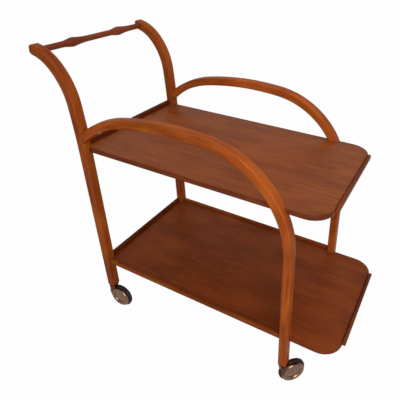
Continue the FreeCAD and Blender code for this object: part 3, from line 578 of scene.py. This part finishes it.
class TROLLEY_OT_hoops(Piece, bpy.types.Operator):
    """Front hoops: a round cornered section up the front leg, over the arch and down onto the upright."""

    bl_idname = "trolley.hoops"
    bl_label = "Front hoops"

    def joint(self, centre_x, centre_z, start):
        """Where the middle of the tail's arc meets the upright's front face: x, z and the face's heading."""
        shape = self.shape
        x, z, heading = bent_path((shape.upright_foot, shape.foot_height), shape.upright_lean,
                                  shape.upright_straight, [(shape.sweep_radius, shape.sweep_angle)])
        facing = np.linspace(start, start + math.pi / 3, 600)
        middle = shape.tail_radius - shape.hoop_depth / 2
        arc_x = centre_x + middle * np.sin(facing)
        arc_z = centre_z - middle * np.cos(facing)
        past = np.interp(arc_z, z, x) - arc_x
        met_z = np.interp(0, past, arc_z)
        return np.interp(met_z, z, x), met_z, np.interp(met_z, z, heading)

    def execute(self, context):
        shape = self.shape
        bends = [(shape.shoulder_radius, shape.shoulder_angle), (shape.crown_radius, shape.crown_angle)]
        path = bent_path((shape.hoop_foot, shape.foot_height), shape.hoop_lean, shape.hoop_straight, bends)
        half_depth = shape.hoop_depth / 2
        rows = len(path[0])
        x, z, heading = (part[-1] for part in path)
        centre_x = x - shape.tail_radius * math.sin(heading)
        centre_z = z + shape.tail_radius * math.cos(heading)
        joint_x, joint_z, joint_heading = self.joint(centre_x, centre_z, heading)
        lean = joint_heading - math.pi / 2
        across, up = outline_points([shape.leg_width / 2], [half_depth], [shape.arris])
        reach = shape.tail_radius - half_depth - up[0]
        gap = -(centre_x - joint_x) * math.cos(lean) - (centre_z - joint_z) * math.sin(lean)
        last = lean + math.pi - np.arcsin(gap / reach)
        facing = heading + np.linspace(0, 1, 24)[1:, None] * (last - heading)
        material = wood("bentwood_hoops", "UV", "hoop", gloss=0.34, shine=0.05)
        for side in SIDES:
            node = f"front_hoop_{side}"
            low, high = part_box(node)
            y = (low.y + high.y) / 2
            points = carried(path, y, np.full(rows, shape.leg_width / 2), np.zeros(rows),
                             np.full(rows, shape.hoop_depth), np.full(rows, shape.arris))
            level_foot(points, path[2][0], shape.foot_height)
            tail = np.stack([centre_x + reach * np.sin(facing), y + np.broadcast_to(across[0], facing.shape),
                             centre_z - reach * np.cos(facing)], axis=-1)
            points = np.concatenate([points, tail])
            along = travelled(points.mean(axis=1)) + GRAIN_STARTS[node]
            piece = put(f"bent_{node}", points, along, girth(shape.leg_width / 2, half_depth, shape.arris))
            dress(piece, "frame", "bentwood", material, node)
        return {"FINISHED"}


class TROLLEY_OT_push_bar(Piece, bpy.types.Operator):
    """Push bar: a turned bamboo form, whose radius swells at two nodes.

    Before a node the swelling follows half a cosine wave, after it the square of the distance left, and a
    running mean rounds the peak.
    """

    bl_idname = "trolley.push_bar"
    bl_label = "Push bar"

    def execute(self, context):
        shape = self.shape
        low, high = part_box("push_bar")
        centre = (np.array(low) + np.array(high)) / 2
        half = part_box("rear_upright_left")[0].y
        place = np.linspace(-half, half, 620)
        swelling = np.zeros(place.shape)
        for side in (-1, 1):
            node = shape.bar_node_shift + side * shape.bar_node_place
            before = np.clip((node - place) / shape.bar_flare, 0, 1)
            after = np.clip((place - node) / shape.bar_cove, 0, 1)
            swelling += np.where(place < node, (1 + np.cos(math.pi * before)) / 2, (1 - after) ** 2)
        reach = int(2 * shape.bar_blend / (place[1] - place[0]))
        weight = np.exp(-(np.arange(-reach, reach + 1) * 2 / reach) ** 2)
        swelling = np.convolve(np.pad(swelling, reach, mode="edge"), weight / weight.sum(), mode="valid")
        radius = shape.bar_radius + (shape.bar_node - shape.bar_radius) * swelling
        piece = turned("turned_push_bar", centre, 0, place, radius, columns=40)
        material = wood("turned_bar", "UV", "bar", gloss=0.32, shine=0.1)
        dress(piece, "frame", "turned_wood", material, "push_bar")
        return {"FINISHED"}


class TROLLEY_OT_trays(Piece, bpy.types.Operator):
    """Trays: a board outline with two large round corners, stacked in rings that round its edges."""

    bl_idname = "trolley.trays"
    bl_label = "Trays"

    def execute(self, context):
        shape = self.shape
        edging = wood("board_edge", "Object", "edge", gloss=0.4, shine=0.1, patches=0.1)
        for tier in ("top", "bottom"):
            node = f"{tier}_tray"
            low, high = (np.array(corner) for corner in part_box(node))
            edge = shape.tray_edge
            rise, draw = end_ease(5, edge)
            levels = np.concatenate([low[2] + rise, (high[2] - rise)[::-1]])
            inset = np.concatenate([draw, draw[::-1]])
            turn = np.linspace(0, math.pi / 2, 24)
            rings = []
            for corner, (sign_x, sign_y) in enumerate(((1, 1), (-1, 1), (-1, -1), (1, -1))):
                radius = shape.tray_corner if sign_x > 0 else 2 * edge
                facing = turn + corner * math.pi / 2
                centre_x = (high[0] if sign_x > 0 else low[0]) - sign_x * radius
                centre_y = (high[1] if sign_y > 0 else low[1]) - sign_y * radius
                out = np.column_stack([np.cos(facing), np.sin(facing)])
                rings.append(np.column_stack([(centre_x, centre_y) + radius * out, out]))
            ring = np.concatenate(rings)
            flat = ring[:, :2] - inset[:, None, None] * ring[:, 2:]
            heights = np.broadcast_to(levels[:, None, None], (*flat.shape[:2], 1))
            points = np.concatenate([flat, heights], axis=-1)
            around = travelled(np.concatenate([ring[:, :2], ring[:1, :2]]))
            piece = put(f"board_{node}", points, levels, around)
            material = wood(f"veneer_{tier}", "Object", node, gloss=0.36, shine=0.14, patches=0.12,
                            spread=1.3)
            dress(piece, "frame", "veneer", material, node)
            piece.data.materials.append(edging)
            faces = len(piece.data.polygons)
            edges = (np.arange(faces) < faces - 2).astype(np.int32)
            piece.data.polygons.foreach_set("material_index", edges)
        return {"FINISHED"}


class TROLLEY_OT_lips(Piece, bpy.types.Operator):
    """Lips: straight strips with a round cornered section and eased ends."""

    bl_idname = "trolley.lips"
    bl_label = "Lips"

    def execute(self, context):
        edge = self.shape.lip_edge
        # The rear and front lip tones hold painted contact shadow as well as varnish build-up
        finishes = {place: wood(f"{place}_lip_wood", "UV", f"{place}_lip", gloss=0.4, shine=0.04)
                    for place in ("rear", "front", "side")}
        for node in LIPS:
            place = node.split("_")[1]
            low, high = (np.array(corner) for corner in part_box(node))
            run = 0 if place == "side" else 1
            other = 1 - run
            ease, draw = end_ease(4, edge / 2)
            straight = np.linspace(low[run] + edge, high[run] - edge, 8)
            stops = np.concatenate([low[run] + ease, straight, (high[run] - ease)[::-1]])
            inset = np.concatenate([draw, np.zeros(straight.shape), draw[::-1]])
            half = (high - low) / 2
            middle = (high + low) / 2
            a, b = outline_points(half[other] - inset, half[2] - inset, np.full(stops.shape, edge))
            points = np.empty((*a.shape, 3))
            points[..., run] = stops[:, None]
            points[..., other] = middle[other] + a
            points[..., 2] = middle[2] + b
            piece = put(f"strip_{node}", points, stops, girth(half[other], half[2], edge))
            dress(piece, "frame", "lip_wood", finishes[place], node)
        return {"FINISHED"}


class TROLLEY_OT_casters(Piece, bpy.types.Operator):
    """Casters: turned tyres and beaded hub caps on level axles, and necks that run from legs into caps."""

    bl_idname = "trolley.casters"
    bl_label = "Casters"

    def execute(self, context):
        metal = plated("plated_metal", "metal")
        # The necks, horns, sockets, stems, axles and wheels take the caps' plating darkened as painted shade
        dark_metal = plated("dark_metal", "horn")
        tread = rubber()
        for corner in CORNERS:
            stem = sum((np.array(point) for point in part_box(f"caster_stem_{corner}")), np.zeros(3)) / 2
            low, high = (np.array(point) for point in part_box(f"caster_tyre_{corner}"))
            centre = (low + high) / 2
            outside = (high[2] - low[2]) / 2
            turn = math.atan2(centre[1] - stem[1], centre[0] - stem[0])
            self.tyre(corner, centre, turn, outside, tread)
            self.cap(corner, centre, turn, metal)
            self.neck(corner, centre, turn, stem, dark_metal)
            for part in ("socket", "stem", "horn", "axle", "wheel"):
                paint(f"caster_{part}_{corner}", dark_metal)
        return {"FINISHED"}

    def cap(self, corner, centre, turn, material):
        """Hub cap: a low domed dish inside a round bead, closed by a flat back.

        The dish falls with the square of the radius, the bead is half an ellipse, and the higher one counts.
        """
        shape = self.shape
        inner = shape.bead_radius - shape.bead_half
        across = np.sin(np.linspace(-math.pi / 2, math.pi / 2, 32))
        radius = np.concatenate([np.linspace(shape.cap_pin, inner, 24)[:-1],
                                 shape.bead_radius + shape.bead_half * across])
        dish = shape.dish_rise + shape.dome_rise * (1 - (radius / inner) ** 2)
        off = np.clip((radius - shape.bead_radius) / shape.bead_half, -1, 1)
        bead = shape.bead_rise * np.sqrt(1 - off ** 2)
        rise = np.where(radius < shape.bead_radius, np.maximum(dish, bead), bead)
        place = np.concatenate([-shape.cap_seat - shape.cap_wall - rise, [-shape.cap_seat, -shape.cap_seat]])
        radius = np.concatenate([radius, [shape.bead_radius + shape.bead_half, shape.cap_pin]])
        piece = turned(f"cap_{corner}", centre, turn, place, radius, columns=72)
        dress(piece, f"swivel_{corner}", "plated_metal", material, f"caster_cap_{corner}")

    def neck(self, corner, centre, turn, stem, material):
        """Neck of the horn: an oval section carried down a cubic curve, from the leg into the cap's bead.

        In the plane of the wheel the curve starts at the stem and ends on the bead's crest, a little below
        the axle, so that the neck runs on as part of the bead. Its width falls from the leg to the bead, and
        its outer face eases from above the crest to just under it.
        """
        shape = self.shape
        stem_off = -math.hypot(*(centre - stem)[:2])
        top = shape.foot_height - centre[2] - shape.neck_drop
        crest = shape.bead_radius
        heights = np.array([top, top, crest]) * NECK_HEIGHT_SHARES
        end = crest * np.array([math.cos(NECK_LAST), math.sin(NECK_LAST)])
        knots = np.vstack([np.column_stack([stem_off + np.array(NECK_OFFSETS), heights]), end])
        share_down = np.linspace(0, 1, 40)[:, None]
        left = 1 - share_down
        line = (left ** 3 * knots[0] + 3 * left ** 2 * share_down * knots[1]
                + 3 * left * share_down ** 2 * knots[2] + share_down ** 3 * knots[3])
        heading = np.gradient(line, axis=0)
        heading /= np.linalg.norm(heading, axis=1)[:, None]
        down = share_down[:, 0]
        widths = np.array([shape.neck_width, shape.neck_width * NECK_SHOULDER_SHARE, shape.neck_waist,
                           shape.neck_end])
        half = np.interp(down, NECK_PLACES, widths / 2)
        inner = shape.cap_seat - shape.neck_sink
        rise = shape.neck_rise * (1 - NECK_FALL_SHARE * down)
        outer = shape.cap_seat + shape.cap_wall + shape.bead_rise + rise
        round_ = np.linspace(0, 2 * math.pi, 36, endpoint=False)
        ahead = line[:, None, 0] + heading[:, None, 1] * half[:, None] * np.cos(round_)
        up = line[:, None, 1] - heading[:, None, 0] * half[:, None] * np.cos(round_)
        out = -(inner + outer)[:, None] / 2 - (outer - inner)[:, None] / 2 * np.sin(round_)
        along_axis, across_axis, upward = axle_frame(turn)
        points = (centre + ahead[..., None] * across_axis + out[..., None] * along_axis
                  + up[..., None] * upward)
        piece = put(f"neck_{corner}", points, travelled(line), np.linspace(0, 2 * shape.neck_width, 37))
        dress(piece, f"swivel_{corner}", "plated_metal", material)

    def tyre(self, corner, centre, turn, outside, material):
        """Tyre: a flat seat, two flanks and a tread rounded by quarter circles."""
        shape = self.shape
        half = shape.tyre_half
        round_ = shape.tyre_round
        arc = np.linspace(0, math.pi / 2, 8)
        inward = -half + round_ * (1 - np.cos(arc))
        tread = outside - round_ * (1 - np.sin(arc))
        seat = shape.rim_radius + shape.tyre_gap
        place = np.concatenate([[-half], inward, -inward[::-1], [half]])
        radius = np.concatenate([[seat], tread, tread[::-1], [seat]])
        piece = turned(f"tyre_{corner}", centre, turn, place, radius, columns=72, ends="joined")
        dress(piece, f"wheel_{corner}", "tyre", material, f"caster_tyre_{corner}")


class TROLLEY_OT_dowels(Piece, bpy.types.Operator):
    """Dowels: plain beech inside the joints."""

    bl_idname = "trolley.dowels"
    bl_label = "Dowels"

    def execute(self, context):
        material = wood("dowel_wood", "Object", "hoop", gloss=0.5, shine=0.1)
        for node in ("hoop_dowels", "top_tray_dowels", "bottom_tray_dowels"):
            paint(node, material)
        return {"FINISHED"}


class TROLLEY_OT_stage(bpy.types.Operator):
    """Camera, pale floor, even sky and three soft lamps."""

    bl_idname = "trolley.stage"
    bl_label = "Stage"
    bl_options = {"REGISTER", "UNDO"}

    def execute(self, context):
        scene = context.scene
        stage = scene.trolley_stage
        data = bpy.data.cameras.new("camera")
        data.lens = stage.camera_lens
        data.shift_x, data.shift_y = stage.camera_shift
        camera = bpy.data.objects.new("camera", data)
        camera.location = stage.camera_place
        camera.rotation_euler = stage.camera_turn
        scene.collection.objects.link(camera)
        scene.camera = camera
        scene.view_settings.view_transform = "Standard"
        self.floor(scene, stage)
        self.sky(scene, stage)
        for name, (size, place) in LAMPS.items():
            self.lamp(scene, name, getattr(stage, name), size, place)
        return {"FINISHED"}

    def lamp(self, scene, name, power, size, place):
        """A square lamp that faces the trolley."""
        data = bpy.data.lights.new(name, "AREA")
        data.energy = power
        data.size = size
        lamp = bpy.data.objects.new(name, data)
        lamp.location = place
        aim = np.array(LAMP_AIM) - np.array(place)
        level = math.hypot(aim[0], aim[1])
        lamp.rotation_euler = (math.atan2(level, -aim[2]), 0, math.atan2(aim[1], aim[0]) - math.pi / 2)
        scene.collection.objects.link(lamp)

    def floor(self, scene, stage):
        """A level square; what the camera sees of it is white, less part of the trolley's shadow."""
        half = stage.floor_half
        mesh = bpy.data.meshes.new("floor")
        corners = [(-half, -half, 0), (half, -half, 0), (half, half, 0), (-half, half, 0)]
        mesh.from_pydata(corners, [], [(0, 1, 2, 3)])
        floor = bpy.data.objects.new("floor", mesh)
        scene.collection.objects.link(floor)
        material, tree, surface = new_material("pale_floor")
        surface.inputs["Base Color"].default_value = (*stage.floor_colour, 1.0)
        surface.inputs["Roughness"].default_value = 0.9
        path = shade(tree, "LightPath")
        mirrored = combined(tree, "MULTIPLY", path.outputs["Is Glossy Ray"], stage.floor_mirrored)
        seen = combined(tree, "MAXIMUM", path.outputs["Is Camera Ray"], mirrored)
        white = shade(tree, "Emission", {"Strength": 1.0})
        cover = combined(tree, "MULTIPLY", seen, stage.floor_white)
        mix = shade(tree, "MixShader", {0: cover, 1: surface.outputs[0], 2: white.outputs[0]})
        tree.links.new(mix.outputs[0], tree.nodes["Material Output"].inputs["Surface"])
        mesh.materials.append(material)

    def sky(self, scene, stage):
        """Even light; the camera sees plain white, and mirrors see a horizon that dims overhead."""
        world = scene.world or bpy.data.worlds.new("sky")
        scene.world = world
        world.use_nodes = True
        tree = world.node_tree
        path = shade(tree, "LightPath")
        straight = combined(tree, "MAXIMUM", path.outputs["Is Camera Ray"],
                            path.outputs["Is Transmission Ray"])
        direction = shade(tree, "SeparateXYZ", {0: shade(tree, "TexCoord").outputs["Generated"]})
        overhead = ranged(tree, direction.outputs["Z"], *SKY_DIMS, stage.horizon, stage.sky)
        mirrored = combined(tree, "MULTIPLY", path.outputs["Is Glossy Ray"], overhead)
        strength = combined(tree, "MAXIMUM", combined(tree, "MAXIMUM", straight, mirrored), stage.sky)
        background = tree.nodes["Background"]
        background.inputs["Color"].default_value = (1.0, 1.0, 1.0, 1.0)
        tree.links.new(strength, background.inputs["Strength"])


class TROLLEY_PT_panel(bpy.types.Panel):
    """Lists the operators in the order in which they run."""

    bl_idname = "TROLLEY_PT_panel"
    bl_label = "Tea trolley"
    bl_space_type = "VIEW_3D"
    bl_region_type = "UI"
    bl_category = "Trolley"

    def draw(self, context):
        for operator in OPERATORS:
            self.layout.operator(operator.bl_idname)


OPERATORS = (TROLLEY_OT_uprights, TROLLEY_OT_hoops, TROLLEY_OT_push_bar, TROLLEY_OT_trays, TROLLEY_OT_lips,
             TROLLEY_OT_casters, TROLLEY_OT_dowels, TROLLEY_OT_stage)
GROUPS = {"trolley_shape": TrolleyShape, "trolley_finish": TrolleyFinish, "trolley_stage": TrolleyStage}


def register():
    """Make the properties, the operators and the panel known."""
    for group in GROUPS.values():
        bpy.utils.register_class(group)
    for name, group in GROUPS.items():
        setattr(bpy.types.Scene, name, PointerProperty(type=group))
    for operator in OPERATORS:
        bpy.utils.register_class(operator)
    bpy.utils.register_class(TROLLEY_PT_panel)


def unregister():
    """Take back what register has made known."""
    bpy.utils.unregister_class(TROLLEY_PT_panel)
    for operator in reversed(OPERATORS):
        bpy.utils.unregister_class(operator)
    for name in GROUPS:
        delattr(bpy.types.Scene, name)
    for group in GROUPS.values():
        bpy.utils.unregister_class(group)


def main():
    """Run all operators in order."""
    register()
    for operator in OPERATORS:
        group, name = operator.bl_idname.split(".")
        getattr(getattr(bpy.ops, group), name)()


if __name__ == "__main__":
    main()
